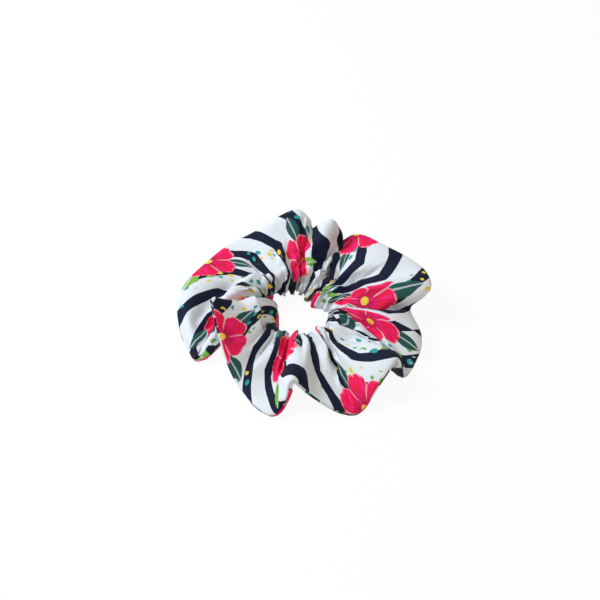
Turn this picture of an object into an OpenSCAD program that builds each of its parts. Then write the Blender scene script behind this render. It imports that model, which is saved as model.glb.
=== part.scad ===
// Scrunchie: a jersey tube gathered on a flat elastic loop, lying on a table.
// Millimetres, +Z up, origin on the axis of the loop at the table top.

/* [Elastic] */
// Inner diameter of the elastic loop at rest
elastic_loop_d = 40; // [36:1:48]
// Width of the flat elastic
elastic_w = 6; // [4:0.5:8]
// Thickness of the flat elastic
elastic_t = 1; // [0.8:0.1:1.4]
// Overlap of the two sewn ends of the elastic
elastic_lap = 14; // [10:1:18]

/* [Cloth] */
// Thickness of one ply of the jersey
cloth_t = 0.6; // [0.4:0.1:0.7]
// Slack between the elastic and the cloth round it
tunnel_gap = 0.4; // [0.3:0.1:0.8]
// Height to which the air in the tube swells each ply of the frill
swell = 1.7; // [1:0.1:2]
// Number of gather pleats round the hole
pleats = 26; // [20:1:30]
// Swing of a gather pleat to each side of its middle
pleat_depth = 0.6; // [0.2:0.1:0.8]

/* [Frill] */
// Longest reach of the frill from the elastic to its sewn edge
frill_w = 37.5; // [36:0.5:40]
// Length of one unit of reach and height in the list of folds
fold_unit = 1; // [0.9:0.05:1.05]

/* [Sewing] */
// Diameter of the sewing thread
thread_d = 0.4; // [0.3:0.05:0.5]
// Length of one machine stitch
stitch = 4; // [3:0.5:6]
// Width of the turned-in seam allowance
seam_allowance = 6; // [5:0.5:8]
// Distance of the long seam's stitches from the edge
seam_inset = 1.2; // [1:0.1:1.6]
// Length of the hand-closed turning gap
closing_gap = 30; // [20:1:40]
// Width of the zigzag on the elastic's lap
zigzag_w = 3.6; // [2:0.2:3.8]

/* [Hidden] */
$fn = 96;

// How the frill lies, every few degrees round the loop: angle on the elastic,
// how far the edge runs ahead of it, how much reach the folds take up, height of the edge
folds = [
    [8, -6, 2.5, 16], [18, -6, 2, 17], [28, -5, 6, 17], [38, -1, 11, 17], [48, 6, 12, 15], [58, 4, 14, 9],
    [67, -2, 15, 17], [75, -6, 17, 23], [83, -3, 16, 14],
    [90, -6, 14, 19], [98, -8, 12, 22], [107, -6, 13, 19], [116, 0, 14, 14], [126, 5, 13, 12],
    [136, 13, 13, 12], [146, 20, 10, 12], [156, 23, 8, 11], [166, 25, 8, 7], [175, 28, 9, 3],
    [184, 26, 10, 2], [193, 15, 17, 7], [203, 5, 20.5, 16], [213, -5, 20, 26], [222, -4, 18, 19],
    [231, -1, 15, 9], [240, 2, 11, 2.5], [250, 9, 3, 1.5], [260, 5, 8, 6], [270, -2, 11, 14],
    [280, -3, 11, 6], [290, -1, 2.5, 1.5], [299, -3, 0, 1.5], [308, -2, 3, 8], [317, 1, 4, 15],
    [325, -4, 3, 9], [333, -10, 2.5, 2], [342, -10, 2.5, 3.5], [351, -8, 4, 6], [360, 0, 10.5, 7]
];
// Where the gathers stand up over the elastic: angle, spread in degrees, height
bulges = [[210, 19, 9.5], [111, 8, 3.5]];
rows = len(folds);
steps_per_row = 2;

// Section of the tunnel round the elastic, as shares of its radius: out along the frill, across it
tunnel_floor = [[-0.72, -0.88], [0.6, -0.9]];
tunnel_crown = [[0.05, 1.05], [-0.95, 0.45]];
// Inscribed circle of that section, as a share of its radius
tunnel_inscribed = 0.85;
// Share of the frill's slope that the tunnel takes up
tunnel_tilt = 0.5;
// How far out the plies are fullest, as a share of the reach
ply_full = 0.8;
// How much fuller the tube is on the outside of a bend, the bend at which half of that shows,
// and how much the inside of a bend presses it flat
crest_swell = 0.6;
crest_bend = 0.2;
bend_press = 3.5;
// Depth to which the soft form is flattened by the table
rest_flat = 0.5;

lap_slack = 0.1;
elastic_r = elastic_loop_d / 2;
ring_r = elastic_r + elastic_t / 2;
lap_outer = elastic_t * 1.5 + lap_slack + thread_d;
tunnel_r = (norm([elastic_w / 2, lap_outer]) + tunnel_gap) / tunnel_inscribed + pleat_depth;
ring_z = -tunnel_floor[1][1] * (tunnel_r + cloth_t) - rest_flat;
edge_half = 2.5 * cloth_t;
ply_least = 1.5 * cloth_t;

function unit(v) = v / norm(v);
function mix(a, b, f) = (1 - f) * a + f * b;
function polar(r, a, z) = [r * cos(a), r * sin(a), z];

// Smooth closed curve through the rows of the fold list
function fold_row(k) =
    let (turn = floor(k / rows), f = folds[k - turn * rows])
    [f[0] + 360 * turn, f[1], f[2], f[3]];
function spline(a, b, c, d, f) =
    0.5 * (2 * b + f * (c - a) + f * f * (2 * a - 5 * b + 4 * c - d) + f * f * f * (3 * b - a - 3 * c + d));
function fold(u) =
    let (k = floor(u))
    spline(fold_row(k - 1), fold_row(k), fold_row(k + 1), fold_row(k + 2), u - k);

// Points of the frill's middle surface: t runs from the elastic, 0, to the sewn edge, 1
function ring_point(u) = polar(ring_r, fold(u)[0], ring_z);
function edge_point(u) =
    let (f = fold(u))
    polar(ring_r + frill_w - fold_unit * f[2], f[0] + f[1], fold_unit * f[3]);
function frill_point(u, t) = mix(ring_point(u), edge_point(u), t);
function reach(u) = norm(edge_point(u) - ring_point(u));
slope_step = 0.05;
function frill_normal(u, t) =
    unit(cross(
        edge_point(u) - ring_point(u),
        frill_point(u + slope_step, t) - frill_point(u - slope_step, t)
    ));

// How sharply the frill bends along the loop, per millimetre: above 0 where it is hollow from above
bend_step = 0.5;
function bend(u, t) =
    let (
        before = frill_point(u, t) - frill_point(u - bend_step, t),
        after = frill_point(u + bend_step, t) - frill_point(u, t)
    )
    2 / norm(before + after) * (unit(after) - unit(before)) * frill_normal(u, t);

// From the frill's middle surface to the outside of its upper ply, side 1, or its lower one, side -1
function ply_height(u, side) =
    let (
        hollow = max([for (near = [-1:1]) side * bend(u + near * bend_step, ply_full)]),
        crest = max(-hollow, 0),
        free = edge_half + swell * (1 + crest_swell * crest / (crest + crest_bend))
    )
    max(free / sqrt(1 + pow(bend_press * free * max(hollow, 0), 2)), ply_least);

// How far the gathers stand above the tunnel, most at its crown
function turn_between(a, b) = a - b - 360 * round((a - b) / 360);
function stand(u, height) =
    fold_unit * (1 + height) / 2
    * max([for (b = bulges) b[2] * exp(-pow(turn_between(fold(u)[0], b[0]) / b[1], 2))]);

// One section of a skin that lies a given depth below the outside of the cloth
function section(u, depth) =
    let (
        angle = fold(u)[0],
        around = polar(1, angle + 90, 0),
        out = unit(mix(polar(1, angle, 0), cross(around, frill_normal(u, 0)), tunnel_tilt)),
        up = cross(out, around),
        r = tunnel_r + cloth_t - depth + pleat_depth * sin(360 * pleats * u / rows),
        high = ply_height(u, 1) - depth,
        low = ply_height(u, -1) - depth,
        edge_t = 1 - (depth > 0 ? seam_allowance / reach(u) : 0),
        edge = min(edge_half, high, low) / (depth > 0 ? 2 : 1),
        full_t = ply_full * edge_t
    )
    [for (p = concat(
        [for (q = tunnel_floor) ring_point(u) + r * (q[0] * out + q[1] * up)],
        [for (q = [[full_t, -low], [edge_t, -edge], [edge_t, edge], [full_t, high]])
            frill_point(u, q[0]) + q[1] * frill_normal(u, q[0])],
        [for (q = tunnel_crown) ring_point(u) + r * (q[0] * out + q[1] * up) + [0, 0, stand(u, q[1])]]
    )) [p[0], p[1], max(p[2], depth)]];

// Closed ring of sections, as triangles
module ring_skin(sections) {
    n = len(sections);
    m = len(sections[0]);
    polyhedron(
        points = [for (s = sections, p = s) p],
        faces = [for (i = [0:n - 1], j = [0:m - 1])
            let (here = i * m, next = (i + 1) % n * m, k = (j + 1) % m)
            each [[here + j, here + k, next + j], [here + k, next + k, next + j]]]
    );
}

// Thread: a tube of few sides along points, with a side direction at each
thread_sides = 4;
module thread(path, sides) {
    n = len(path);
    m = thread_sides;
    polyhedron(
        points = [for (i = [0:n - 1])
            let (
                along = unit(path[min(i + 1, n - 1)] - path[max(i - 1, 0)]),
                x = unit(sides[i] - (sides[i] * along) * along),
                y = cross(along, x)
            )
            each [for (j = [0:m - 1])
                path[i] + thread_d / 2 * (cos(360 * j / m) * x + sin(360 * j / m) * y)]],
        faces = concat(
            [for (i = [0:n - 2], j = [0:m - 1])
                let (a = m * i + j, b = m * i + (j + 1) % m)
                each [[a, a + m, b], [b, a + m, b + m]]],
            [for (j = [1:m - 2]) each [[0, j, j + 1], [m * n - m, m * n - m + j + 1, m * n - m + j]]]
        )
    );
}

// Seam marks are pairs of a point and a unit direction across the plies
function mark_between(a, b, f) = [mix(a[0], b[0], f), unit(mix(a[1], b[1], f))];

// Lockstitch through marks: at each mark the thread dips towards the middle, and between them it lies
// on its own side of the plies. Each step is a mark and how far from the middle the thread is there
knot_half = 0.65 * thread_d;
lie_shares = [0.25, 0.75];
function lockstitch(marks, lie) =
    let (last = len(marks) - 1)
    [for (k = [0:last])
        each concat(
            [[marks[k], knot_half]],
            k == last ? [] : [for (f = lie_shares) [mark_between(marks[k], marks[k + 1], f), lie]]
        )];
module stitched_thread(marks, lie) {
    steps = lockstitch(marks, lie);
    thread([for (s = steps) s[0][0] + s[1] * s[0][1]], [for (s = steps) s[0][1]]);
}

// Marks spaced evenly along a line of marks
function lengths_along(marks) =
    [for (i = 0, l = 0; i < len(marks);
        l = l + norm(marks[min(i + 1, len(marks) - 1)][0] - marks[i][0]), i = i + 1) [l, i]];
function mark_at(marks, i) =
    let (k = min(floor(i), len(marks) - 2))
    mark_between(marks[k], marks[k + 1], i - k);

// The long seam lies just inside the frill's edge, all round
seam_line = [for (i = [0:rows * steps_per_row])
    let (u = i / steps_per_row, t = 1 - seam_inset / reach(u))
    [frill_point(u, t), frill_normal(u, t)]];
seam_lengths = lengths_along(seam_line);
seam_length = seam_lengths[len(seam_lengths) - 1][0];
function seam_step(l) = lookup(l - seam_length * floor(l / seam_length), seam_lengths);
function seam_mark(l) = mark_at(seam_line, seam_step(l));

// The tube's ends meet in the middle of the turning gap
end_row = 37;
end_length = seam_lengths[end_row * steps_per_row][0];
long_seam_stitches = floor((seam_length - closing_gap) / stitch);
long_seam_marks = [for (k = [0:long_seam_stitches]) seam_mark(end_length + closing_gap / 2 + k * stitch)];

// The end seam goes round the tube's wall, from one side of the edge to the other
function wall_middle(u) = (section(u, 0) + section(u, cloth_t)) / 2;
wall_order = [4, 5, 6, 7, 0, 1, 2, 3];
function end_seam_line(to) =
    [for (j = wall_order)
        let (p = wall_middle(end_row)[j])
        [p, unit(wall_middle(end_row + to / steps_per_row)[j] - p)]];
function end_seam_marks(to) =
    let (
        line = end_seam_line(to),
        lengths = lengths_along(line),
        stitches = floor(lengths[len(line) - 1][0] / stitch)
    )
    [for (k = [0:stitches]) mark_at(line, lookup(k * stitch, lengths))];

// Hand stitches wrap the edge along the turning gap
hand_stitch = 3;
hand_depth = 2;
hand_count = floor(closing_gap / hand_stitch);
function hand_wrap(l) =
    let (
        m = seam_mark(l),
        u = seam_step(l) / steps_per_row,
        out = unit(edge_point(u) - ring_point(u)),
        back = seam_inset - hand_depth,
        front = seam_inset + thread_d / 2,
        side = edge_half + thread_d / 2
    )
    [for (q = [[back, -side], [back, side], [front, side], [front, -side]])
        [m[0] + q[0] * out + q[1] * m[1], cross(out, m[1])]];
closing_line = [for (k = [0:hand_count])
    each hand_wrap(end_length - closing_gap / 2 + k * hand_stitch)];

// The elastic is one strip: two half turns with centres a little apart carry its end over its start
lap_angle = 60;
lap_step = elastic_t + lap_slack;
lap_r = elastic_r + elastic_t + lap_slack / 2;
function lap_turn(l) = l / lap_r * 180 / PI;
zigzag_pitch = 1.5;
zigzag_margin = 1.5;
zigzag_count = floor((elastic_lap - 2 * zigzag_margin) / zigzag_pitch);
zigzag_lie = elastic_t + (lap_slack + thread_d) / 2;
function zigzag_marks(side) =
    [for (k = [0:zigzag_count])
        let (a = lap_angle + lap_turn(zigzag_margin + k * zigzag_pitch))
        [polar(lap_r, a, ring_z + (k % 2 - 0.5) * zigzag_w), side * polar(1, a, 0)]];

module elastic_arc(r, degrees) {
    rotate_extrude(angle = degrees) translate([r, -elastic_w / 2]) square([elastic_t, elastic_w]);
}

module fabric_cover() {
    us = [for (i = [0:rows * steps_per_row - 1]) i / steps_per_row];
    color("ivory") difference() {
        ring_skin([for (u = us) section(u, 0)]);
        ring_skin([for (u = us) section(u, cloth_t)]);
    }
}
module long_seam_needle_thread() {
    color("white") stitched_thread(long_seam_marks, cloth_t);
}
module long_seam_bobbin_thread() {
    color("white") stitched_thread([for (m = long_seam_marks) [m[0], -m[1]]], cloth_t);
}
module end_seam_needle_thread() {
    color("white") stitched_thread(end_seam_marks(1), cloth_t);
}
module end_seam_bobbin_thread() {
    color("white") stitched_thread(end_seam_marks(-1), cloth_t);
}
module closing_thread() {
    color("ivory") thread([for (c = closing_line) c[0]], [for (c = closing_line) c[1]]);
}
module elastic_band() {
    color("snow") translate([0, 0, ring_z]) rotate([0, 0, lap_angle]) {
        elastic_arc(elastic_r, 180);
        translate([lap_step / 2, 0, 0]) rotate([0, 0, 180]) elastic_arc(elastic_r + lap_step / 2, 180);
        elastic_arc(elastic_r + lap_step, lap_turn(elastic_lap));
    }
}
module lap_needle_thread() {
    color("white") stitched_thread(zigzag_marks(1), zigzag_lie);
}
module lap_bobbin_thread() {
    color("white") stitched_thread(zigzag_marks(-1), zigzag_lie);
}

fabric_cover();
long_seam_needle_thread();
long_seam_bobbin_thread();
end_seam_needle_thread();
end_seam_bobbin_thread();
closing_thread();
elastic_band();
lap_needle_thread();
lap_bobbin_thread();
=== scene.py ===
import math

import bmesh
import bpy
import numpy as np
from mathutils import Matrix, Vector


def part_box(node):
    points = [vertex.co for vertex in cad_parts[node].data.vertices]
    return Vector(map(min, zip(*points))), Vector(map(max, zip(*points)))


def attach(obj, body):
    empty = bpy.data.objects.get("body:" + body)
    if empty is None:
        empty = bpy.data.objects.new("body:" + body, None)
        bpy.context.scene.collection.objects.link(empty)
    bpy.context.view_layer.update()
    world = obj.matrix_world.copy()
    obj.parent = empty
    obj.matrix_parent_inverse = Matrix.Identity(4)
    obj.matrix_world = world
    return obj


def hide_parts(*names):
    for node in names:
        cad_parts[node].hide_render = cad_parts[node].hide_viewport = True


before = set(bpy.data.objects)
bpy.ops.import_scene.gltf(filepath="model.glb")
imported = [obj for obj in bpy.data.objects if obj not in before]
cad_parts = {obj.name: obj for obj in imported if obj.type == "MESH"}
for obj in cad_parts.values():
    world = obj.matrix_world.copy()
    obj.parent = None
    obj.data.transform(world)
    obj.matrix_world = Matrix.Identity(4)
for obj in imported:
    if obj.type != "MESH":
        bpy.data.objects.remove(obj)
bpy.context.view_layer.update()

MM = 0.001

# The frill as it lies, row by row round the loop: angle on the elastic, how far the edge runs ahead of it,
# how much reach the folds take up and the height of the edge, in degrees and millimetres
FOLDS = np.array([
    [8, -6, 2.5, 16], [18, -6, 2, 17], [28, -5, 6, 17], [38, -1, 11, 17], [48, 6, 12, 15], [58, 4, 14, 9],
    [67, -2, 15, 17], [75, -6, 17, 23], [83, -3, 16, 14],
    [90, -6, 14, 19], [98, -8, 12, 22], [107, -6, 13, 19], [116, 0, 14, 14], [126, 5, 13, 12],
    [136, 13, 13, 12], [146, 20, 10, 12], [156, 23, 8, 11], [166, 25, 8, 7], [175, 28, 9, 3],
    [184, 26, 10, 2], [193, 15, 17, 7], [203, 5, 20.5, 16], [213, -8, 20, 28.5], [222, -4, 18, 19],
    [231, -1, 15, 9], [240, 2, 11, 2.5], [250, 9, 3, 1.5], [260, 5, 8, 6], [270, -2, 11, 14],
    [280, -3, 11, 6], [290, -1, 2.5, 1.5], [299, -3, 0, 1.5], [308, -2, 3, 8], [317, 1, 4, 15],
    [325, -4, 3, 9], [333, -10, 2.5, 2], [342, -10, 2.5, 3.5], [351, -8, 4, 6], [360, 0, 10.5, 7],
], dtype=float)
ROWS = len(FOLDS)

# Row at which the ends of the strip are sewn together
END_SEAM_ROW = 37

# The cloth's thickness, the girth of its tube, the seam allowance and the least gap to the floor, in
# millimetres
CLOTH_T = 0.6
CLOTH_W = 78.0
SEAM_ALLOWANCE = 6.0
FLOOR_GAP = 0.05

# The loop of elastic and the tunnel round it, in millimetres; the tunnel tilts by a share of the frill's
# slope, and its height fades over a share of the way out
elastic_low, elastic_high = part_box("elastic_band")
RING_Z = (elastic_low.z + elastic_high.z) / 2 / MM
RING_R = 20.5
TUNNEL_HIGH = 6.0
TUNNEL_DEEP = 4.9
TUNNEL_TILT = 0.5
TUNNEL_FADE = 0.2

# Room for the elastic as it turns inside its tunnel: middle radius, and half the width and half the height
# inside the outer and the inner skin; a higher power makes squarer corners, and what lies within the core, a
# share of the room, isn't moved right out
ELASTIC_MID_R = 21.0
OUTER_ROOM = (3.1, 4.5)
INNER_ROOM = (2.4, 3.9)
ROOM_POWER = 4
ROOM_CORE = 0.2

# The frill, in millimetres: its width, half the thickness of its edge and the groove along the seam
FRILL_W = 37.5
EDGE_HALF = 1.5
SEAM_GROOVE = 0.6

# The air between the plies in millimetres, the share of the way out at which it is full, the share that
# crests add to it and how soon they do, how much a hollow presses it, and its softening in rows
PUFF = 2.2
PUFF_START = 0.35
CREST_PUFF = 0.6
CREST_GAIN = 5
BEND_ROOM = 1.5
PLY_SOFTEN = 0.35

# Rows where the frill folds back on itself and its plies lie close, with the width of each in rows, and the
# share of the air that is pressed out there
TIGHT_ROWS = [(21.5, 1.6), (33.7, 1.0)]
TIGHT_SHARE = 0.8

# The gathers round the hole: count, height in millimetres, reach as a share of the way out, unevenness of
# their places and the seed of their draws; the long ones reach their height at a share of the way out
PLEATS = 24
PLEAT_HEIGHT = 4.6
PLEAT_REACH = 0.4
PLEAT_JITTER = 0.3
PLEAT_SEED = 3
LONG_PLEATS = 14
LONG_PLEAT_HEIGHT = 3.4
LONG_PLEAT_REACH = 0.62
LONG_PLEAT_JITTER = 0.25
LONG_PLEAT_SEED = 5
LONG_PLEAT_START = 0.3

# How the gathers differ from each other, how round their tops are, and the share of their height that lies
# below the ply
HEIGHT_RANGE = (0.55, 1.2)
REACH_RANGE = (0.65, 1.4)
LEAN_RANGE = (-0.4, 0.4)
RIDGE_ROUND = 0.65
RIDGE_SINK = 0.68

# Share of the gathers' height on the lower ply, and what the tunnel loses of it at its underside
LOWER_SHARE = 0.6
UNDER_LOSS = 0.5

# Places where the upper ply stands up or sinks: angle on the loop and its spread in degrees, share of the
# way out and its spread, how that share grows with each degree, and height in millimetres
BULGES = [
    (210, 19, 0.05, 0.35, 0.0, 14.0), (208, 10, 0.55, 0.3, 0.0, 5.0),
    (111, 8, 0.2, 0.33, 0.0, 5.0), (127, 6, 0.3, 0.25, 0.0, -2.0),
    (12, 7, 0.42, 0.32, 0.0, 4.5), (28, 7, 0.4, 0.3, 0.0, -2.0), (0, 5, 0.4, 0.3, 0.0, -1.5),
    (147, 13, 0.18, 0.16, 0.014, 6.0), (151, 14, 0.46, 0.16, 0.014, -3.0),
]

# How far a bulge leans over the hole as it rises, and where: angle on the loop and its spread in degrees
BULGE_LEAN = 0.8
BULGE_LEANS = (212, 28)

# Where the gathers and the drape are flatter: angle on the loop and its spread in degrees, and the shares
# taken away
CALM, CALM_SPREAD = 210, 18
CALM_SHARE, FIRM_SHARE = 0.6, 0.8

# Where the inner wall sags into the hole or lies back from it: angle on the loop and its spread in degrees,
# and depth in millimetres, deepest at one turn round the tunnel
SAGS = [(50, 22, 5.0), (152, 24, -2.5)]
SAG_TURN, SAG_SPREAD = 215, 40

# Steps of the cloth's grid: along each row of folds, across a ply, round the tunnel and over the edge; the
# number of stretches round the tube, the share of the way out where the plies start, and the turns at which
# the tunnel starts and ends, in degrees
FINE_STEPS = (12, 20, 18, 7)
DRAPE_STEPS = (4, 9, 6, 3)
STRETCHES = 4
PLY_START = 0.13
TUNNEL_START, TUNNEL_END = 78, 282

# Creases: spread of their softening and reach of one in steps, the depth in millimetres at which the cloth
# is pressed most, and the share of its thickness that it loses there
CREASE_STEPS = 0.65
CREASE_REACH = 5
CREASE_DEEP = 0.6
CREASE_PRESS = 0.9

# Cloth hidden in the valleys of the gathers: its share, and where it starts on the way from the edge to the
# hole and how soon it is full
HIDDEN_SHARE = 0.72
HIDDEN_START, HIDDEN_FADE = 0.45, 0.4

# The turned-in allowances: steps across one, its greatest share of the gap between the plies, and its
# distance from the middle as a share of its thickness
ALLOWANCE_STEPS = 4
ALLOWANCE_SHARE = 0.2
ALLOWANCE_GAP = 0.1

# The drape: a light cloth simulation at a larger scale, with its time in frames, its gap between the plies
# and its greatest move in millimetres, its softening in steps and the share of spare cloth
DRAPE_SCALE = 20.0
DRAPE_FRAMES = 20
DRAPE_QUALITY = 6
DRAPE_MASS = 0.3
DRAPE_BENDING = 6
DRAPE_PRESSURE = 1.5
DRAPE_GAP = 1.0
DRAPE_CAP = 4.0
DRAPE_SOFTEN = 0.5
SPARE_CLOTH = 0.2

# How the drape is held: lightly all over, firmly near the edge and fairly firmly inside the hole, with where
# on the way from the edge to the hole that starts or ends and how soon; the spare cloth grows the same way
HOLD_LIGHT = 0.1
HOLD_EDGE, EDGE_END, EDGE_FADE = 0.9, 0.15, 0.1
HOLD_HOLE, HOLE_START, HOLE_FADE = 0.45, 0.7, 0.2
SPARE_START, SPARE_FADE = 0.1, 0.4

# The sewing, in millimetres: thread, machine stitches, their place inside the cloth, and the hand stitches
# along the turning gap
THREAD_D = 0.4
THREAD_SIDES = 6
STITCH = 4.0
STITCH_POINTS = 6
KNOT_HALF = 0.65 * THREAD_D
SEAM_INSET = 1.2
END_SEAM_DEPTH = 1.1
CLOSING_GAP = 30.0
HAND_STITCH = 3.0
HAND_DEPTH = 1.6

# A direction that no thread runs along where it starts
ASIDE = (0.3, 0.2, 1.0)

# The way of one hand stitch round the edge: how far outside it in millimetres, and the share of half its
# thickness
HAND_WRAP = [
    (-HAND_DEPTH, -0.8), (-HAND_DEPTH, 0), (-HAND_DEPTH, 0.8), (-0.8, 0.82),
    (0.1, 0.5), (0.1, 0), (0.1, -0.5), (-0.8, -0.82),
]

# Pitch of the elastic's cords and of its weft, in millimetres, and the weft's share of the relief
CORD = 0.75
WEFT = 0.5
WEFT_SHARE = 0.4

# Length of cloth to one unit of its flat map, and width of a wale and height of a course, in millimetres
MAP_MM = 100.0
WALE = 0.9
COURSE = 0.7

# Colours of the print
WHITE = (0.74, 0.76, 0.79, 1)
NAVY = (0.007, 0.010, 0.030, 1)
CRIMSON = (0.84, 0.008, 0.06, 1)
WINE = (0.42, 0.005, 0.04, 1)
ROSE = (0.88, 0.018, 0.20, 1)
PINK = (0.85, 0.45, 0.45, 1)
LEAF = (0.02, 0.085, 0.075, 1)
LIME = (0.19, 0.42, 0.06, 1)
YELLOW = (0.80, 0.58, 0.06, 1)
TEAL = (0.03, 0.33, 0.30, 1)

# Darker and lighter tones of the unprinted cloth, the thread and the elastic, and how fine the first two mix
REVERSE_TONES = (0.66, 0.65, 0.64, 1), (0.78, 0.77, 0.75, 1)
THREAD_TONES = (0.70, 0.69, 0.66, 1), (0.86, 0.85, 0.82, 1)
# On the elastic the darker tone is painted shade, laid in the low places of its relief between the cords
ELASTIC_PAINTED_SHADE_TONES = (0.62, 0.61, 0.58, 1), (0.84, 0.83, 0.80, 1)
MOTTLE_SCALE = 900.0
TWIST_SCALE = 2500.0

# Wobble of the whole print, in units of the cloth's flat map
WOBBLE_SCALE = 11.0
WOBBLE = 0.014

# The stripes: pitch in millimetres, start, pitch, and lowest and highest place of their bends, and edge of a
# stripe as shares of the pitch
STRIPE = 19.0
BEND_SHIFT, BEND_PITCH = 8.0, 30.0
BEND_LOW, BEND_HIGH = 6.0, 22.0
STRIPE_EDGE = (0.175, 0.19)

# The buds: cell, shift and least size in millimetres, what a size may add, soft edge, and where sprays grow
BUD_CELL = 4.6
BUD_SHIFT = 0.9
BUD_R, BUD_GROWTH = 0.8, 0.9
BUD_EDGE = (0.0, 0.3)
SPRAY_SCALE = 0.045
SPRAY_EDGE = (0.55, 0.56)
YELLOW_FROM = (0.35, 0.36)
LIME_FROM = (0.75, 0.76)

# The flowers, in millimetres: cell, shift, radius and soft edges; and in shares of the radius: the petals'
# base, their rounding and the notch at their tips, each with its power
MOTIF_W, MOTIF_H = 50.0, 45.0
MOTIF_SHIFT_X, MOTIF_SHIFT_Y = 3.0, 2.0
FLOWER_R = 12.5
FLOWER_EDGE = (0.0, 0.35)
FLOWER_EYE = (1.7, 1.2)
PETALS = 5
PETAL_BASE = 0.64
PETAL_ROUND, ROUND_POWER = 0.36, 0.55
PETAL_NOTCH, NOTCH_POWER = 0.07, 14.0

# Tints on the petals: where the wine middle ends, the rose streaks, and the pink partings and rims
MIDDLE_EDGE = (0.1, 0.6)
STREAK_TURN, STREAK_SCALE = 3.0, 2.5
STREAK_EDGE, STREAK_SHARE = (0.45, 0.62), 0.8
PARTING_EDGE, PARTING_START = (0.16, 0.08), (0.2, 0.35)
RIM_EDGE, RIM_STREAK = (1.1, 0.5), (0.4, 0.55)
PINK_SHARE = 0.75

# The leaves: half length, half width and distance of the middle from the flower's in millimetres, directions
# of the first and from one to the next in radians, and the pale vein
LEAF_LONG, LEAF_WIDE = 6.5, 3.1
LEAF_OUT = 0.95 * FLOWER_R + 2
LEAF_FIRST, LEAF_TURN = 0.7, 2.1
LEAF_EDGE = (0.0, 0.3)
VEIN_EDGE, VEIN_SHARE = (0.45, 0.2), 0.6

# Small creases near the gathers, drawn on the surface: how much narrower than long, scale, detail, and where
# they fade towards the edge, in units of the cloth's flat map
CREASE_STRETCH = 5.0
CREASE_SCALE, CREASE_DETAIL = 7.0, 3.0
CREASE_FADE = (0.3, 0.05)

# The studio: size of the floor in metres and the share of plain white in its look, the sky, and the lights,
# which aim at the middle
FLOOR_SIZE = 6
FLOOR_WHITE = 0.92
SKY_COLOUR = (1.0, 0.94, 0.88, 1)
SKY_STRENGTH = 0.41
LIGHTS = {
    "key": {"place": (-0.55, 0.1, 0.55), "size": 0.35, "power": 6.2, "colour": (0.78, 0.89, 1.0)},
    "fill": {"place": (0.5, -0.45, 0.45), "size": 0.6, "power": 1.0, "colour": (1.0, 0.86, 0.72)},
}

# The camera looks down at the photograph's angle, from a distance in millimetres; the image is taken to be
# 600 by 600 pixels, and the point on the floor under the loop's middle falls on a chosen pixel
IMAGE_PX = 600
SCALE_MM_PER_PX = 0.435
CAMERA_DISTANCE = 620.0
CAMERA_ELEVATION = 45.0
CAMERA_NEAR = 0.01
ORIGIN_PX = (297.0, 320.6)
SENSOR = 36.0

# A length too short to matter, which keeps divisions away from 0
TINY = 1e-6


def unit(v):
    return v / np.linalg.norm(v, axis=-1, keepdims=True)


def polar(r, degrees, z):
    a = np.radians(degrees)
    return np.stack(np.broadcast_arrays(r * np.cos(a), r * np.sin(a), z), axis=-1)


def smooth(x):
    x = np.clip(x, 0, 1)
    return x * x * (3 - 2 * x)


def signed(degrees):
    """An angle taken to the range from -180 to 180 degrees."""
    return (degrees + 180) % 360 - 180


def hump(degrees, middle, spread):
    """Smooth hump of height 1 on a circle."""
    return np.exp(-((signed(degrees - middle) / spread) ** 2))


def soften(values, spread):
    """Average of values round the loop over a spread counted in steps."""
    reach = int(3 * spread) + 1
    shifts = np.arange(-reach, reach + 1)
    weights = np.exp(-0.5 * (shifts / spread) ** 2)
    return sum(w * np.roll(values, s, axis=0) for s, w in zip(shifts, weights)) / weights.sum()


def closed_curve(values, at):
    """Smooth closed curve through a list of values, at places counted along the list."""
    k = np.floor(at).astype(int)
    f = (at - k).reshape(-1, *[1] * (values.ndim - 1))
    a, b, c, d = (values[(k + i) % len(values)] for i in (-1, 0, 1, 2))
    return 0.5 * (2 * b + f * (c - a) + f**2 * (2 * a - 5 * b + 4 * c - d) + f**3 * (3 * b - a - 3 * c + d))


def closed_steps(rows, places):
    """Each quad of a grid that is closed both ways: its row, the next row, its place and the next place."""
    for i in range(rows):
        for j in range(places):
            yield i, (i + 1) % rows, j, (j + 1) % places


def fold(u):
    """Angle, lean, tuck and lift at a place counted in rows round the loop."""
    steady = np.zeros((ROWS, 4))
    steady[:, 0] = 360 * np.arange(ROWS) / ROWS
    values = closed_curve(FOLDS - steady, u)
    values[:, 0] += 360 * u / ROWS
    return values


def ring_point(u):
    return polar(RING_R, fold(u)[:, 0], RING_Z)


def edge_point(u):
    f = fold(u)
    return polar(RING_R + FRILL_W - f[:, 2], f[:, 0] + f[:, 1], f[:, 3])


def frill_point(u, t):
    """A point of the frill's middle surface, at a share t of the way out from the loop to the edge."""
    return (1 - t) * ring_point(u) + t * edge_point(u)


def frill_normal(u, t, step=0.05):
    across = frill_point(u + step, t) - frill_point(u - step, t)
    return unit(np.cross(edge_point(u) - ring_point(u), across))


def bend(u, t, step=0.3):
    """How sharply the frill bends along the loop, per millimetre: above 0 where it is hollow from above."""
    here = frill_point(u, t)
    before = here - frill_point(u - step, t)
    after = frill_point(u + step, t) - here
    arc = np.linalg.norm(before + after, axis=-1, keepdims=True) / 2
    turn = (unit(after) - unit(before)) / arc
    return (turn * frill_normal(u, t)).sum(axis=-1)


def fullness(u):
    """Share of the air between the plies: 1, and less where they lie close."""
    full = np.ones_like(u)
    for row, width in TIGHT_ROWS:
        away = np.abs((u - row + ROWS / 2) % ROWS - ROWS / 2)
        full *= 1 - TIGHT_SHARE * np.exp(-((away / width) ** 2))
    return full


def bulge(u, t):
    """Height of the bulges of the upper ply."""
    degrees = fold(u)[:, 0]
    height = np.zeros_like(degrees)
    for angle, wide, out, far, slant, rise in BULGES:
        middle = out + slant * signed(degrees - angle)
        height += rise * hump(degrees, angle, wide) * np.exp(-(((t - middle) / far) ** 2))
    return height


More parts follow.
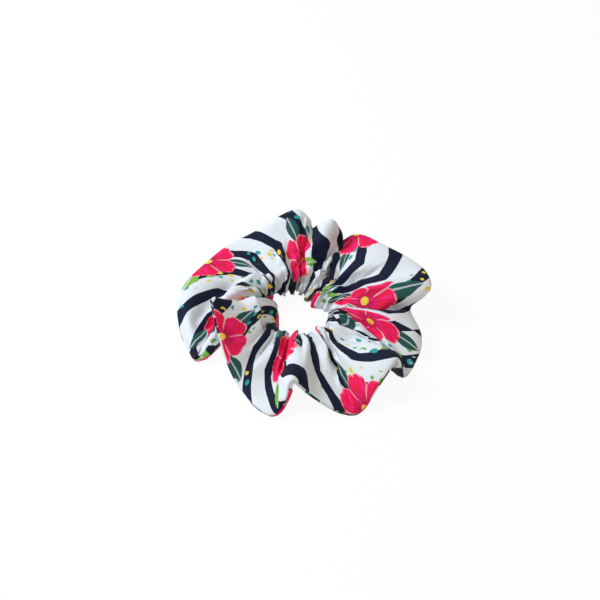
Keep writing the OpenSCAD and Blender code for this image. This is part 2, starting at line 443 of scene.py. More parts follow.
class Gathers:
    """Ridges of cloth that run out from the elastic: rounded tops, sharp valleys, each its own size."""

    def __init__(self, count, jitter, seed):
        draw = np.random.default_rng(seed)
        places = np.arange(count) + draw.uniform(-jitter, jitter, count)
        self.count = count
        self.valleys = np.sort(places * 360 / count % 360)
        self.height = draw.uniform(*HEIGHT_RANGE, count)
        self.reach = draw.uniform(*REACH_RANGE, count)
        self.lean = draw.uniform(*LEAN_RANGE, count)

    def at(self, degrees):
        """Number of the ridge at an angle on the loop, where it starts and ends, and the place across it."""
        a = degrees % 360
        k = np.searchsorted(self.valleys, a, side="right") - 1
        start = self.valleys[k] - np.where(k < 0, 360, 0)
        end = self.valleys[(k + 1) % self.count] + np.where(k == self.count - 1, 360, 0)
        return k, start, end, (a - start) / (end - start)

    def ridge(self, degrees, t, reach):
        """Height of the ridges, and how far they lean along the loop, at a share t of the way out."""
        k, _, _, x = self.at(degrees)
        rise = np.sin(np.pi * x) ** RIDGE_ROUND
        fade = self.height[k] * np.exp(-((t / (reach * self.reach[k])) ** 2))
        return fade * (rise - RIDGE_SINK), fade * rise * self.lean[k]


fine_gathers = Gathers(PLEATS, PLEAT_JITTER, PLEAT_SEED)
long_gathers = Gathers(LONG_PLEATS, LONG_PLEAT_JITTER, LONG_PLEAT_SEED)


def gather(degrees, t, fine):
    """Height and lean of the gathers at a share t of the way out."""
    grow = LONG_PLEAT_HEIGHT * smooth(t / LONG_PLEAT_START)
    rise, lean = (grow * part for part in long_gathers.ridge(degrees, t, LONG_PLEAT_REACH))
    if fine:
        fine_rise, fine_lean = fine_gathers.ridge(degrees, t, PLEAT_REACH)
        rise = rise + PLEAT_HEIGHT * fine_rise
        lean = lean + PLEAT_HEIGHT * fine_lean
    calm = 1 - CALM_SHARE * hump(degrees, CALM, CALM_SPREAD)
    return calm * rise, calm * lean


def ply_distance(u, t, side, steps):
    """From the middle of the frill to its upper ply, side 1, or its lower ply, side -1."""
    tunnel = (TUNNEL_HIGH - EDGE_HALF) * math.exp(-((t / TUNNEL_FADE) ** 2))
    curve = side * bend(u, t)
    crest = 1 + CREST_PUFF * np.tanh(np.maximum(-curve, 0) * CREST_GAIN)
    air = PUFF * fullness(u) * crest * smooth(t / PUFF_START) * math.sqrt(1 - t**3)
    wanted = EDGE_HALF + tunnel + air
    hollow = np.maximum(curve, 0)
    return soften(wanted / np.sqrt(1 + (BEND_ROOM * wanted * hollow) ** 2), PLY_SOFTEN * steps)


def keep_clear(p, room):
    """Moves points out of the room that the elastic needs, and up to the floor."""
    radius = np.hypot(p[..., 0], p[..., 1])
    across = (radius - ELASTIC_MID_R) / room[0]
    height = (p[..., 2] - RING_Z) / room[1]
    inside = np.maximum((across**ROOM_POWER + height**ROOM_POWER) ** (1 / ROOM_POWER), ROOM_CORE)
    grow = np.where(inside < 1, 1 / inside, 1)
    wanted = ELASTIC_MID_R + (radius - ELASTIC_MID_R) * grow
    p[..., :2] *= (wanted / radius)[..., None]
    p[..., 2] = np.maximum(RING_Z + (p[..., 2] - RING_Z) * grow, FLOOR_GAP)


def new_object(name, points, faces):
    """A smooth mesh of points in metres, as an object of the scene."""
    mesh = bpy.data.meshes.new(name)
    mesh.from_pydata(points.reshape(-1, 3).tolist(), [], faces)
    mesh.polygons.foreach_set("use_smooth", [True] * len(mesh.polygons))
    obj = bpy.data.objects.new(name, mesh)
    bpy.context.collection.objects.link(obj)
    return obj


class CoverGrid:
    """Points of the cover's outside: rows round the loop by places round the tube.

    The places run in over the upper ply, round the tunnel, out over the lower ply and up over the edge. The
    stations count the same way, one unit to each of these stretches.
    """

    def __init__(self, steps, fine=True):
        self.per_row, self.ply, self.nose, self.edge = steps
        self.fine = fine
        self.u = END_SEAM_ROW + np.arange(ROWS * self.per_row) / self.per_row
        self.angle = fold(self.u)[:, 0]
        self.around = polar(1, self.angle + 90, 0)
        slope = np.cross(self.around, frill_normal(self.u, 0))
        self.out = unit((1 - TUNNEL_TILT) * polar(1, self.angle, 0) + TUNNEL_TILT * slope)
        self.up = np.cross(self.out, self.around)
        self.turns = np.radians(np.linspace(TUNNEL_START, TUNNEL_END, self.nose))
        outward = np.linspace(PLY_START, 1, self.ply)
        over = np.linspace(-1, 1, self.edge + 2)[1:-1]
        places = [self.ply_place(t, 1) for t in outward[::-1]]
        places += [self.tunnel_place(turn) for turn in self.turns]
        places += [self.ply_place(t, -1) for t in outward]
        places += [self.edge_place(across) for across in over]
        self.points = np.stack(places, axis=1)
        self.seam = self.points.shape[1] - self.edge // 2 - 1
        self.lower_edge = self.seam - self.edge // 2 - 1
        self.stations = np.concatenate([
            np.linspace(0, 1, self.ply), 1 + np.linspace(0, 1, self.nose + 2)[1:-1],
            2 + np.linspace(0, 1, self.ply), 3 + np.linspace(0, 1, self.edge + 2)[1:-1],
        ])

    def ply_place(self, t, side):
        rise, lean = gather(self.angle, t, self.fine)
        share = 1 if side > 0 else LOWER_SHARE
        off = side * (ply_distance(self.u, t, side, self.per_row) + share * rise)
        push = off[:, None] * frill_normal(self.u, t) + share * lean[:, None] * self.around
        if side > 0:
            push[:, 2] += bulge(self.u, t)
        return frill_point(self.u, t) + push

    def tunnel_place(self, turn):
        rise, lean = gather(self.angle, 0, self.fine)
        share = 1 - UNDER_LOSS * max(-math.sin(turn), 0)
        spoke = math.cos(turn) * self.out + math.sin(turn) * self.up
        body = TUNNEL_DEEP * math.cos(turn) * self.out + TUNNEL_HIGH * math.sin(turn) * self.up
        swell = np.maximum(bulge(self.u, 0), 0)[:, None] * (1 + math.sin(turn)) / 2
        inwards = BULGE_LEAN * hump(self.angle, *BULGE_LEANS) * min(math.cos(turn), 0)
        body = body + swell * (np.array([0, 0, 1]) + inwards[:, None] * self.out)
        sag = sum(deep * hump(self.angle, angle, wide) for angle, wide, deep in SAGS)
        body = body + (sag * hump(math.degrees(turn), SAG_TURN, SAG_SPREAD))[:, None] * spoke
        return ring_point(self.u) + body + share * (rise[:, None] * spoke + lean[:, None] * self.around)

    def edge_place(self, across):
        groove = SEAM_GROOVE if across == 0 else 0
        beyond = EDGE_HALF * math.sqrt(1 - across**2) - groove
        outwards = unit(edge_point(self.u) - ring_point(self.u))
        return edge_point(self.u) + beyond * outwards + across * EDGE_HALF * frill_normal(self.u, 1)

    def hold_off(self, room):
        """Keeps each place of the tunnel on its own side of the elastic."""
        tunnel = slice(self.ply, self.ply + self.nose)
        turns = self.turns[:, None]
        spokes = np.cos(turns) * self.out[:, None] + np.sin(turns) * self.up[:, None]
        sideways = (spokes * polar(1, self.angle, 0)[:, None]).sum(axis=2)
        across = (sideways / room[0]) ** ROOM_POWER
        height = (spokes[..., 2] / room[1]) ** ROOM_POWER
        reach = (across + height) ** (-1 / ROOM_POWER)
        middle = polar(ELASTIC_MID_R, self.angle, RING_Z)[:, None]
        away = ((self.points[:, tunnel] - middle) * spokes).sum(axis=2)
        self.points[:, tunnel] += np.maximum(reach - away, 0)[..., None] * spokes

    def edge_walk(self):
        """Distance walked along the sewn edge at each row, and the edge's whole length."""
        edge = edge_point(self.u)
        steps = np.linalg.norm(np.roll(edge, -1, axis=0) - edge, axis=1)
        return np.cumsum(steps) - steps, steps.sum()

    def valley_shift(self, along, total):
        """How far the cloth moves along the strip when a gather takes it all into its valleys."""
        _, start, end, x = fine_gathers.at(self.angle)
        turns = 360 * np.floor(self.angle / 360)
        loop = np.concatenate([self.angle + 360 * i for i in (-1, 0, 1)])
        laid = np.concatenate([along + total * i for i in (-1, 0, 1)])
        taken = np.interp(end + turns, loop, laid) - np.interp(start + turns, loop, laid)
        return taken * np.sin(2 * np.pi * x) / (2 * np.pi)

    def across_strip(self):
        """Place of each point across the flat strip, from seam to seam."""
        first = self.points.shape[1] - self.seam
        gaps = np.linalg.norm(np.roll(self.points, -1, axis=1) - self.points, axis=2)
        gaps = np.roll(gaps, first, axis=1)
        walked = np.roll(np.cumsum(gaps, axis=1) - gaps, -first, axis=1)
        middle = self.ply + self.nose // 2
        half = walked[:, middle:middle + 1]
        rest = gaps.sum(axis=1, keepdims=True) - half
        return CLOTH_W / 2 * np.where(walked <= half, walked / half, 1 + (walked - half) / rest)

    def strip(self):
        """Place of each point on the flat strip, along it and across it, and the strip's length."""
        along, total = self.edge_walk()
        across = self.across_strip()
        hidden = HIDDEN_SHARE * smooth((self.near_ring(across) - HIDDEN_START) / HIDDEN_FADE)
        return along[:, None] + hidden * self.valley_shift(along, total)[:, None], across, total

    @staticmethod
    def near_ring(across):
        """From 0 at the seam along the edge to 1 inside the hole."""
        return 1 - np.abs(across / CLOTH_W - 0.5) * 2

    def mesh(self, name, scale):
        """The grid as a skin, with its place on the flat strip."""
        rows, places = self.points.shape[:2]
        along, across, total = self.strip()
        faces = []
        flat = []
        for i, k, j, m in closed_steps(rows, places):
            turn = total if k == 0 else 0
            ends = (CLOTH_W, CLOTH_W) if m == self.seam else (across[k, m], across[i, m])
            faces.append((i * places + j, k * places + j, k * places + m, i * places + m))
            flat += [(along[i, j], across[i, j]), (along[k, j] + turn, across[k, j])]
            flat += [(along[k, m] + turn, ends[0]), (along[i, m], ends[1])]
        skin = new_object(name, self.points * scale, faces)
        layer = skin.data.uv_layers.new(name="cloth")
        layer.data.foreach_set("uv", (np.array(flat) / MAP_MM).ravel())
        return skin


def drape_weights(grid):
    """How firmly each point of the draped cloth is held, and how much spare cloth it has."""
    near_ring = grid.near_ring(grid.across_strip())
    hold = HOLD_LIGHT + HOLD_EDGE * smooth((EDGE_END - near_ring) / EDGE_FADE)
    hold = hold + HOLD_HOLE * smooth((near_ring - HOLE_START) / HOLE_FADE)
    spare = smooth((near_ring - SPARE_START) / SPARE_FADE)
    return {"held": np.clip(hold, 0, 1), "spare": spare}


def set_cloth(modifier):
    """Light cloth with spare length, pushed out by its air, whose plies keep apart."""
    cloth = modifier.settings
    cloth.quality = DRAPE_QUALITY
    cloth.mass = DRAPE_MASS
    cloth.bending_stiffness = DRAPE_BENDING
    cloth.vertex_group_mass = "held"
    cloth.vertex_group_shrink = "spare"
    cloth.shrink_min = 0
    cloth.shrink_max = -SPARE_CLOTH
    cloth.use_pressure = True
    cloth.uniform_pressure_force = DRAPE_PRESSURE
    cloth.effector_weights.gravity = 0
    contact = modifier.collision_settings
    contact.use_collision = False
    contact.use_self_collision = True
    contact.self_distance_min = DRAPE_GAP * DRAPE_SCALE * MM
    modifier.point_cache.frame_start = 1
    modifier.point_cache.frame_end = DRAPE_FRAMES


def drape(steps):
    """A coarse grid of the cover, and how its points move in a short simulation."""
    grid = CoverGrid(steps, fine=False)
    body = grid.mesh("drape", DRAPE_SCALE * MM)
    for name, weights in drape_weights(grid).items():
        group = body.vertex_groups.new(name=name)
        for index, weight in enumerate(weights.ravel().tolist()):
            group.add([index], weight, "REPLACE")
    set_cloth(body.modifiers.new("cloth", "CLOTH"))
    scene = bpy.context.scene
    for number in range(1, DRAPE_FRAMES + 1):
        scene.frame_set(number)
    done = body.evaluated_get(bpy.context.evaluated_depsgraph_get())
    moved = np.empty(grid.points.size)
    done.data.vertices.foreach_get("co", moved)
    scene.frame_set(1)
    bpy.data.objects.remove(body)
    push = moved.reshape(grid.points.shape) / (DRAPE_SCALE * MM) - grid.points
    size = np.linalg.norm(push, axis=2, keepdims=True)
    return grid, soften(push * np.minimum(1, DRAPE_CAP / np.maximum(size, TINY)), DRAPE_SOFTEN)


def carried(grid, push, fine):
    """The push of the draped grid at the points of a finer one."""
    rows = closed_curve(push, (fine.u - END_SEAM_ROW) * grid.per_row)
    places = np.interp(fine.stations, np.append(grid.stations, STRETCHES), np.arange(len(grid.stations) + 1))
    return closed_curve(rows.swapaxes(0, 1), places).swapaxes(0, 1)


def grid_normals(points):
    """Outward direction at each point of a closed grid."""
    along = np.roll(points, -1, axis=0) - np.roll(points, 1, axis=0)
    across = np.roll(points, -1, axis=1) - np.roll(points, 1, axis=1)
    return unit(np.cross(along, across))


def inner_skin(points):
    """The other face of the cloth, which lies closer in the creases, where the cloth is pressed thin."""
    normals = grid_normals(points)
    beside = (np.roll(points, -CREASE_REACH, axis=0) + np.roll(points, CREASE_REACH, axis=0)) / 2
    hollow = ((beside - points) * normals).sum(axis=2)
    shifts = range(-CREASE_REACH, CREASE_REACH + 1)
    deepest = np.max([np.roll(hollow, shift, axis=0) for shift in shifts], axis=0)
    thick = CLOTH_T * (1 - CREASE_PRESS * smooth(deepest / CREASE_DEEP))
    inner = points - thick[..., None] * normals
    keep_clear(inner, INNER_ROOM)
    return inner


def allowance(grid, side):
    """Outline of the cloth turned in along the edge, beside the upper ply, side 1, or the lower one."""
    low = grid.lower_edge
    upper = grid.points[:, ALLOWANCE_STEPS::-1]
    lower = grid.points[:, low - ALLOWANCE_STEPS:low + 1]
    middle = (upper + lower) / 2
    apart = np.linalg.norm(upper - lower, axis=2, keepdims=True)
    over = (upper - lower) / apart
    thick = np.minimum(CLOTH_T, ALLOWANCE_SHARE * apart)
    near = middle + side * ALLOWANCE_GAP * thick * over
    far = middle + side * (1 + ALLOWANCE_GAP) * thick * over
    return np.concatenate([near, far[:, ::-1]], axis=1)


def add_skin(shell, points, turned, rounded):
    """Adds a closed grid as unprinted cloth, turned over or not and shaded round or flat."""
    corners = [[shell.verts.new(p) for p in row] for row in (points * MM).tolist()]
    for i, k, j, m in closed_steps(*points.shape[:2]):
        loop = (corners[i][j], corners[k][j], corners[k][m], corners[i][m])
        face = shell.faces.new(loop[:1] + loop[:0:-1] if turned else loop)
        face.smooth = rounded
        face.material_index = 1


def cover_shell(grid):
    """The cover as cloth with a thickness: an outer skin, an inner one and the turned-in allowances."""
    skin = grid.mesh("jersey_cover", MM)
    shell = bmesh.new()
    shell.from_mesh(skin.data)
    add_skin(shell, inner_skin(grid.points), turned=True, rounded=True)
    for side in (1, -1):
        add_skin(shell, allowance(grid, side), turned=side > 0, rounded=False)
    shell.to_mesh(skin.data)
    shell.free()
    return skin


def tube(name, path, diameter, sides=THREAD_SIDES):
    """A closed tube along a path of points in millimetres, nowhere below the floor."""
    path = np.array(path)
    path[:, 2] = np.maximum(path[:, 2], diameter / 2)
    ahead = unit(np.gradient(path, axis=0))
    frames = []
    side = unit(np.cross(ahead[0], ASIDE))
    for direction in ahead:
        side = unit(side - (side @ direction) * direction)
        frames.append((side, np.cross(direction, side)))
    turns = 2 * np.pi * np.arange(sides) / sides
    rings = [
        [p + diameter / 2 * (math.cos(a) * x + math.sin(a) * y) for a in turns]
        for p, (x, y) in zip(path, frames)
    ]
    faces = [
        (i * sides + j, i * sides + (j + 1) % sides, (i + 1) * sides + (j + 1) % sides, (i + 1) * sides + j)
        for i in range(len(path) - 1) for j in range(sides)
    ]
    last = (len(path) - 1) * sides
    faces += [tuple(range(sides - 1, -1, -1)), tuple(range(last, last + sides))]
    return new_object(name, np.array(rings) * MM, faces)


def lockstitch(line, sides):
    """One thread of a lockstitch: it lies to its own side and dips to the middle at every stitch."""
    steps = np.linalg.norm(np.diff(line, axis=0), axis=1)
    walked = np.concatenate([[0], np.cumsum(steps)])
    marks = np.arange(0, walked[-1], STITCH / STITCH_POINTS)
    middle = np.stack([np.interp(marks, walked, line[:, i]) for i in range(3)], axis=1)
    side = unit(np.stack([np.interp(marks, walked, sides[:, i]) for i in range(3)], axis=1))
    off = KNOT_HALF + (CLOTH_T - KNOT_HALF) * np.sqrt(np.abs(np.sin(np.pi * marks / STITCH)))
    return middle + off[:, None] * side


class Seams:
    """Places of the sewing on the finished cover."""

    def __init__(self, grid):
        p = grid.points
        low = grid.lower_edge
        self.edge = p[:, grid.seam]
        self.across = unit(p[:, 0] - p[:, low])
        steps_in = 2
        out = self.edge - (p[:, steps_in] + p[:, low - steps_in]) / 2
        self.out = unit(out - (out * self.across).sum(axis=1, keepdims=True) * self.across)
        self.walked = np.cumsum(np.linalg.norm(self.edge - np.roll(self.edge, 1, axis=0), axis=1))
        self.walked -= self.walked[0]
        self.total = self.walked[-1] + np.linalg.norm(self.edge[0] - self.edge[-1])
        plies = p.shape[1] - grid.edge
        self.end_line = (p[0] - END_SEAM_DEPTH * grid_normals(p)[0])[:plies]
        self.end_sides = unit(p[1] - p[-1])[:plies]

    def long_line(self):
        """The long seam, from one end of the turning gap right round to the other."""
        chosen = (self.walked > CLOSING_GAP / 2) & (self.walked < self.total - CLOSING_GAP / 2)
        return (self.edge - SEAM_INSET * self.out)[chosen], self.across[chosen]

    def closing_line(self):
        """Hand stitches that wrap the edge along the turning gap."""
        marks = np.append(self.walked, self.total)
        half = EDGE_HALF + THREAD_D / 2
        path = []
        for number in range(int(CLOSING_GAP / HAND_STITCH)):
            for step, (out, side) in enumerate(HAND_WRAP):
                length = (number + step / len(HAND_WRAP)) * HAND_STITCH - CLOSING_GAP / 2
                at = np.array([np.interp(length % self.total, marks, np.arange(len(marks)))])
                here, way, over = (closed_curve(v, at)[0] for v in (self.edge, self.out, self.across))
                path.append(here + out * way + side * half * over)
        return path


def sewn_threads(grid):
    """The threads of the cover, under the names of the nodes that they replace."""
    seams = Seams(grid)
    long_line, long_sides = seams.long_line()
    paths = {
        "long_seam_needle_thread": lockstitch(long_line, long_sides),
        "long_seam_bobbin_thread": lockstitch(long_line, -long_sides),
        "end_seam_needle_thread": lockstitch(seams.end_line, seams.end_sides),
        "end_seam_bobbin_thread": lockstitch(seams.end_line, -seams.end_sides),
        "closing_thread": seams.closing_line(),
    }
    return {node: tube(f"sewn_{node}", path, THREAD_D) for node, path in paths.items()}


class Nodes:
    """Short ways to add the nodes of one material."""

    def __init__(self, name):
        self.material = bpy.data.materials.new(name)
        self.material.use_nodes = True
        self.tree = self.material.node_tree
        self.surface = self.tree.nodes["Principled BSDF"]

    def feed(self, socket, value):
        if isinstance(value, bpy.types.NodeSocket):
            self.tree.links.new(value, socket)
        else:
            socket.default_value = value

    def finish(self, values):
        """Sets the surface and returns the material."""
        for name, value in values.items():
            self.feed(self.surface.inputs[name], value)
        return self.material

    def add(self, kind, inputs=(), **settings):
        node = self.tree.nodes.new(kind)
        for key, value in settings.items():
            setattr(node, key, value)
        for key, value in dict(inputs).items():
            self.feed(node.inputs[key], value)
        return node

    def math(self, operation, *values):
        node = self.add("ShaderNodeMath", enumerate(values), operation=operation)
        return node.outputs[0]

    def vector(self, operation, inputs):
        return self.add("ShaderNodeVectorMath", inputs, operation=operation).outputs[0]

    def step(self, ends, value):
        """Soft step from 0 at the first end to 1 at the second."""
        inputs = {"Value": value, "From Min": ends[0], "From Max": ends[1]}
        return self.add("ShaderNodeMapRange", inputs, interpolation_type="SMOOTHSTEP").outputs[0]

    def mix(self, factor, a, b):
        node = self.add("ShaderNodeMix", data_type="RGBA")
        self.feed(node.inputs[0], factor)
        self.feed(node.inputs[6], a)
        self.feed(node.inputs[7], b)
        return node.outputs[2]

    def pair(self, x, y):
        return self.add("ShaderNodeCombineXYZ", {"X": x, "Y": y}).outputs[0]

    def length(self, x, y):
        return self.math("SQRT", self.math("ADD", self.math("MULTIPLY", x, x), self.math("MULTIPLY", y, y)))

    def noise(self, place, scale, detail=2.0):
        return self.add("ShaderNodeTexNoise", {"Vector": place, "Scale": scale, "Detail": detail}).outputs

    def spot(self):
        """Place on the object itself."""
        return self.add("ShaderNodeTexCoord").outputs["Object"]


def stripes(n, x, y):
    """Navy and white stripes with angular bends."""
    swing = n.math("PINGPONG", n.math("ADD", y, BEND_SHIFT), BEND_PITCH)
    bent = n.math("MINIMUM", n.math("MAXIMUM", swing, BEND_LOW), BEND_HIGH)
    phase = n.math("FRACT", n.math("DIVIDE", n.math("ADD", x, bent), STRIPE))
    band = n.math("ABSOLUTE", n.math("SUBTRACT", phase, 0.5))
    return n.mix(n.step(STRIPE_EDGE, band), NAVY, WHITE)


def cell(n, x, y, wide, high):
    """Cells of a brick layout: place from the middle of the cell, and three draws for the cell."""
    column = n.math("FLOOR", n.math("DIVIDE", x, wide))
    odd = n.math("MULTIPLY", n.math("FLOORED_MODULO", column, 2.0), 0.5)
    row = n.math("FLOOR", n.math("ADD", n.math("DIVIDE", y, high), odd))
    draw = n.add("ShaderNodeTexWhiteNoise", {"Vector": n.pair(column, row)}, noise_dimensions="2D")
    draws = n.add("ShaderNodeSeparateColor", {0: draw.outputs["Color"]}).outputs
    middle_x = n.math("MULTIPLY", n.math("ADD", column, 0.5), wide)
    middle_y = n.math("MULTIPLY", n.math("SUBTRACT", n.math("ADD", row, 0.5), odd), high)
    return n.math("SUBTRACT", x, middle_x), n.math("SUBTRACT", y, middle_y), draws


def shift(n, value, draw, reach):
    return n.math("SUBTRACT", value, n.math("MULTIPLY", n.math("SUBTRACT", draw, 0.5), 2 * reach))


def buds(n, x, y, colour):
    """Sprays of small buds."""
    px, py, draws = cell(n, x, y, BUD_CELL, BUD_CELL)
    away = n.length(shift(n, px, draws[0], BUD_SHIFT), shift(n, py, draws[1], BUD_SHIFT))
    size = n.math("ADD", BUD_R, n.math("MULTIPLY", draws[1], BUD_GROWTH))
    there = n.step(SPRAY_EDGE, n.noise(n.pair(x, y), SPRAY_SCALE)["Fac"])
    inside = n.math("MULTIPLY", there, n.step(BUD_EDGE, n.math("SUBTRACT", size, away)))
    kind = n.mix(n.step(YELLOW_FROM, draws[2]), TEAL, YELLOW)
    kind = n.mix(n.step(LIME_FROM, draws[2]), kind, LIME)
    return n.mix(inside, colour, kind)


def leaf(n, away, bearing, direction, tint, colour):
    """A pointed leaf that shows from under a flower."""
    angle = n.math("SUBTRACT", bearing, direction)
    along = n.math("SUBTRACT", n.math("MULTIPLY", away, n.math("COSINE", angle)), LEAF_OUT)
    side = n.math("ABSOLUTE", n.math("MULTIPLY", away, n.math("SINE", angle)))
    share = n.math("DIVIDE", along, LEAF_LONG)
    half = n.math("MULTIPLY", n.math("SUBTRACT", 1.0, n.math("MULTIPLY", share, share)), LEAF_WIDE)
    green = n.mix(n.math("MULTIPLY", n.step(VEIN_EDGE, side), VEIN_SHARE), tint, WHITE)
    return n.mix(n.step(LEAF_EDGE, n.math("SUBTRACT", half, side)), colour, green)


def petals(n, away, bearing, colour):
    """Five red petals with streaks, pale partings and rims, round a yellow eye."""
    petal = n.math("ABSOLUTE", n.math("SINE", n.math("MULTIPLY", bearing, PETALS / 2)))
    rounded = n.math("MULTIPLY", n.math("POWER", petal, ROUND_POWER), PETAL_ROUND)
    notch = n.math("MULTIPLY", n.math("POWER", petal, NOTCH_POWER), PETAL_NOTCH)
    reach = n.math("SUBTRACT", n.math("ADD", PETAL_BASE, rounded), notch)
    inside = n.math("SUBTRACT", n.math("MULTIPLY", reach, FLOWER_R), away)
    share = n.math("DIVIDE", away, FLOWER_R)
    streaks = n.noise(n.pair(n.math("MULTIPLY", bearing, STREAK_TURN), share), STREAK_SCALE)["Fac"]
    parting = n.math("MULTIPLY", n.step(PARTING_EDGE, petal), n.step(PARTING_START, share))
    rim = n.math("MULTIPLY", n.step(RIM_EDGE, inside), n.step(RIM_STREAK, streaks))
    pale = n.math("MULTIPLY", n.math("MAXIMUM", parting, rim), PINK_SHARE)
    red = n.mix(n.step(MIDDLE_EDGE, share), WINE, CRIMSON)
    red = n.mix(n.math("MULTIPLY", n.step(STREAK_EDGE, streaks), STREAK_SHARE), red, ROSE)
    red = n.mix(pale, red, PINK)
    red = n.mix(n.step(FLOWER_EYE, away), red, YELLOW)
    return n.mix(n.step(FLOWER_EDGE, inside), colour, red)


def flowers(n, x, y, colour):
    """Flowers, each with three leaves and turned its own way."""
    px, py, draws = cell(n, x, y, MOTIF_W, MOTIF_H)
    px = shift(n, px, draws[0], MOTIF_SHIFT_X)
    py = shift(n, py, draws[1], MOTIF_SHIFT_Y)
    turn = n.math("MULTIPLY", draws[2], 2 * math.pi)
    away = n.length(px, py)
    bearing = n.math("ADD", n.math("ARCTAN2", py, px), turn)
    for number, tint in enumerate((LEAF, LIME, LEAF)):
        colour = leaf(n, away, bearing, LEAF_FIRST + number * LEAF_TURN, tint, colour)
    return petals(n, away, bearing, colour)


def knit(n, along, across):
    """Wales and courses of the jersey, and the small creases that run out from the gathers."""
    wale = n.math("SINE", n.math("MULTIPLY", along, 2 * math.pi * MAP_MM / WALE))
    course = n.math("SINE", n.math("MULTIPLY", across, 2 * math.pi * MAP_MM / COURSE))
    loops = n.add("ShaderNodeBump", {
        "Height": n.math("MULTIPLY", wale, course), "Strength": 0.35, "Distance": 0.05 * MM,
    })
    place = n.pair(n.math("MULTIPLY", along, CREASE_STRETCH), across)
    crease = n.noise(place, CREASE_SCALE, CREASE_DETAIL)["Fac"]
    middle = n.math("ABSOLUTE", n.math("SUBTRACT", across, CLOTH_W / 2 / MAP_MM))
    creases = n.add("ShaderNodeBump", {
        "Height": n.math("MULTIPLY", crease, n.step(CREASE_FADE, middle)), "Strength": 0.6,
        "Distance": 1.2 * MM, "Normal": loops.outputs[0],
    })
    return creases.outputs[0]


def jersey_material():
    """Printed jersey: stripes, buds and flowers on a fine knit."""
    n = Nodes("jersey_print")
    flat = n.add("ShaderNodeUVMap", uv_map="cloth").outputs[0]
    wobble = n.vector("SUBTRACT", {0: n.noise(flat, WOBBLE_SCALE)["Color"], 1: (0.5, 0.5, 0.5)})
    place = n.vector("ADD", {0: flat, 1: n.vector("SCALE", {0: wobble, "Scale": WOBBLE})})
    along, across, _ = n.add("ShaderNodeSeparateXYZ", {0: place}).outputs
    x = n.math("MULTIPLY", along, MAP_MM)
    y = n.math("MULTIPLY", across, MAP_MM)
    colour = flowers(n, x, y, buds(n, x, y, stripes(n, x, y)))
    return n.finish({
        "Base Color": colour, "Normal": knit(n, along, across), "Roughness": 0.75,
        "Specular IOR Level": 0.15, "Sheen Weight": 0.05, "Sheen Roughness": 0.4,
    })


def jersey_reverse_material():
    """The unprinted back of the jersey."""
    n = Nodes("jersey_reverse")
    mottle = n.noise(n.spot(), MOTTLE_SCALE)["Fac"]
    return n.finish({"Base Color": n.mix(mottle, *REVERSE_TONES), "Roughness": 0.85})


def thread_material():
    """Twisted polyester sewing thread."""
    n = Nodes("sewing_thread")
    twist = n.noise(n.spot(), TWIST_SCALE)["Fac"]
    bump = n.add("ShaderNodeBump", {"Height": twist, "Strength": 0.4, "Distance": 0.05 * MM})
    return n.finish({
        "Base Color": n.mix(twist, *THREAD_TONES), "Normal": bump.outputs[0], "Roughness": 0.55,
    })


def elastic_material():
    """Woven elastic: covered rubber cords side by side, with the weft across them, and painted shade in the
    grooves between them.
    """
    n = Nodes("woven_elastic")
    x, y, z = n.add("ShaderNodeSeparateXYZ", {0: n.spot()}).outputs
    turn = n.math("ARCTAN2", y, x)
    cords = n.math("ABSOLUTE", n.math("SINE", n.math("MULTIPLY", z, math.pi / (CORD * MM))))
    weft = n.math("ABSOLUTE", n.math("SINE", n.math("MULTIPLY", turn, math.pi * RING_R / WEFT)))
    raised = n.math("ADD", 1 - WEFT_SHARE, n.math("MULTIPLY", weft, WEFT_SHARE))
    height = n.math("MULTIPLY", n.math("POWER", cords, 0.5), raised)
    bump = n.add("ShaderNodeBump", {"Height": height, "Strength": 0.6, "Distance": 0.15 * MM})
    # The colour follows the relief: painted shade where it is low, between the cords and between the weft's
    # ridges
    return n.finish({
        "Base Color": n.mix(height, *ELASTIC_PAINTED_SHADE_TONES), "Normal": bump.outputs[0], "Roughness": 0.8,
    })


def floor_material():
    """White floor that keeps a share of the object's shadow."""
    n = Nodes("floor_white")
    n.finish({"Base Color": (0.95, 0.95, 0.95, 1), "Roughness": 0.9, "Specular IOR Level": 0.0})
    white = n.add("ShaderNodeEmission", {"Strength": 1.0})
    rays = n.add("ShaderNodeLightPath").outputs
    seen = n.math("MAXIMUM", rays["Is Camera Ray"], rays["Is Glossy Ray"])
    seen = n.math("MAXIMUM", seen, rays["Is Transmission Ray"])
    blend = n.add("ShaderNodeMixShader", {
        0: n.math("MULTIPLY", seen, FLOOR_WHITE), 1: n.surface.outputs[0], 2: white.outputs[0],
    })
    n.feed(n.tree.nodes["Material Output"].inputs[0], blend.outputs[0])
    return n.material


def add_floor():
    bpy.ops.mesh.primitive_plane_add(size=FLOOR_SIZE)
    floor = bpy.context.object
    floor.name = "floor"
    floor.data.materials.append(floor_material())
    return floor


def add_sky():
    """Soft light from all round, with plain white where the camera sees the sky itself."""
    world = bpy.data.worlds.new("studio")
    bpy.context.scene.world = world
    world.use_nodes = True
    sky = world.node_tree
    glow = sky.nodes["Background"]
    glow.inputs["Color"].default_value = SKY_COLOUR
    glow.inputs["Strength"].default_value = SKY_STRENGTH
    backdrop = sky.nodes.new("ShaderNodeBackground")
    backdrop.inputs["Color"].default_value = (1, 1, 1, 1)
    choice = sky.nodes.new("ShaderNodeMixShader")
    sky.links.new(sky.nodes.new("ShaderNodeLightPath").outputs["Is Camera Ray"], choice.inputs[0])
    sky.links.new(glow.outputs[0], choice.inputs[1])
    sky.links.new(backdrop.outputs[0], choice.inputs[2])
    sky.links.new(choice.outputs[0], sky.nodes["World Output"].inputs[0])


def add_light(name, place, size, power, colour):
    data = bpy.data.lights.new(name, "AREA")
    data.size = size
    data.energy = power
    data.color = colour
    lamp = bpy.data.objects.new(name, data)
    bpy.context.collection.objects.link(lamp)
    lamp.location = place
    lamp.rotation_euler = (-Vector(place)).to_track_quat("-Z", "Y").to_euler()


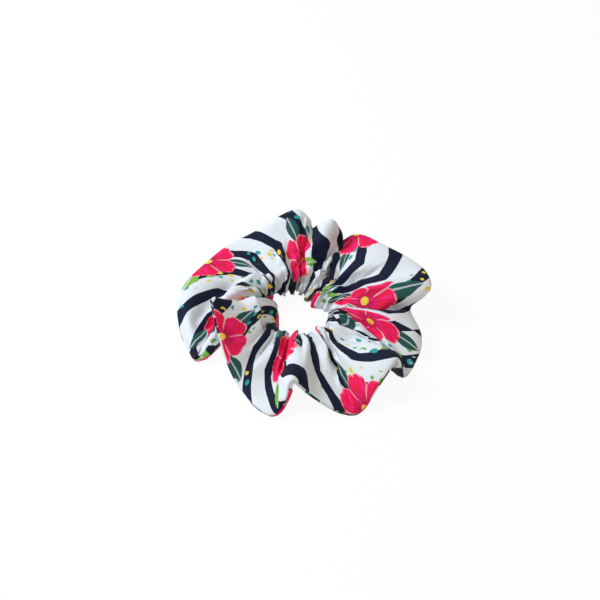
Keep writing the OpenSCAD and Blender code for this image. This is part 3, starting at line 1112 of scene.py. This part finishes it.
def add_camera():
    elevation = math.radians(CAMERA_ELEVATION)
    back = Vector((0, -math.cos(elevation), math.sin(elevation)))
    up = Vector((0, math.sin(elevation), math.cos(elevation)))
    middle = IMAGE_PX / 2
    aim = Vector((1, 0, 0)) * (middle - ORIGIN_PX[0]) + up * (ORIGIN_PX[1] - middle)
    aim *= SCALE_MM_PER_PX * MM
    data = bpy.data.cameras.new("camera")
    data.sensor_width = SENSOR
    data.lens = SENSOR * CAMERA_DISTANCE / (SCALE_MM_PER_PX * IMAGE_PX)
    data.clip_start = CAMERA_NEAR
    camera = bpy.data.objects.new("camera", data)
    bpy.context.collection.objects.link(camera)
    camera.location = aim + back * CAMERA_DISTANCE * MM
    camera.rotation_euler = (-back).to_track_quat("-Z", "Y").to_euler()
    bpy.context.scene.camera = camera


# The cover: its folds, its drape, and its place clear of the elastic
cover_grid = CoverGrid(FINE_STEPS)
firm = 1 - FIRM_SHARE * hump(cover_grid.angle, CALM, CALM_SPREAD)
cover_grid.points += firm[:, None, None] * carried(*drape(DRAPE_STEPS), cover_grid)
cover_grid.points = soften(cover_grid.points, CREASE_STEPS)
cover_grid.hold_off(OUTER_ROOM)
keep_clear(cover_grid.points, OUTER_ROOM)
cover = cover_shell(cover_grid)
cover.data.materials.append(jersey_material())
cover.data.materials.append(jersey_reverse_material())
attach(cover, "cover")
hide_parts("fabric_cover")

# The sewing
sewing = thread_material()
threads = sewn_threads(cover_grid)
for node, thread in threads.items():
    thread.data.materials.append(sewing)
    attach(thread, "cover")
    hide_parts(node)
(cover_grid.strip()[2] + 2 * SEAM_ALLOWANCE) * MM

# The elastic and its threads
finishes = {"elastic_band": elastic_material(), "lap_needle_thread": sewing, "lap_bobbin_thread": sewing}
for name, finish in finishes.items():
    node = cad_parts[name]
    node.data.materials.clear()
    node.data.materials.append(finish)

# Floor, light and camera
floor = add_floor()
add_sky()
for name, light in LIGHTS.items():
    add_light(name, **light)
add_camera()
bpy.context.scene.view_settings.view_transform = "Standard"
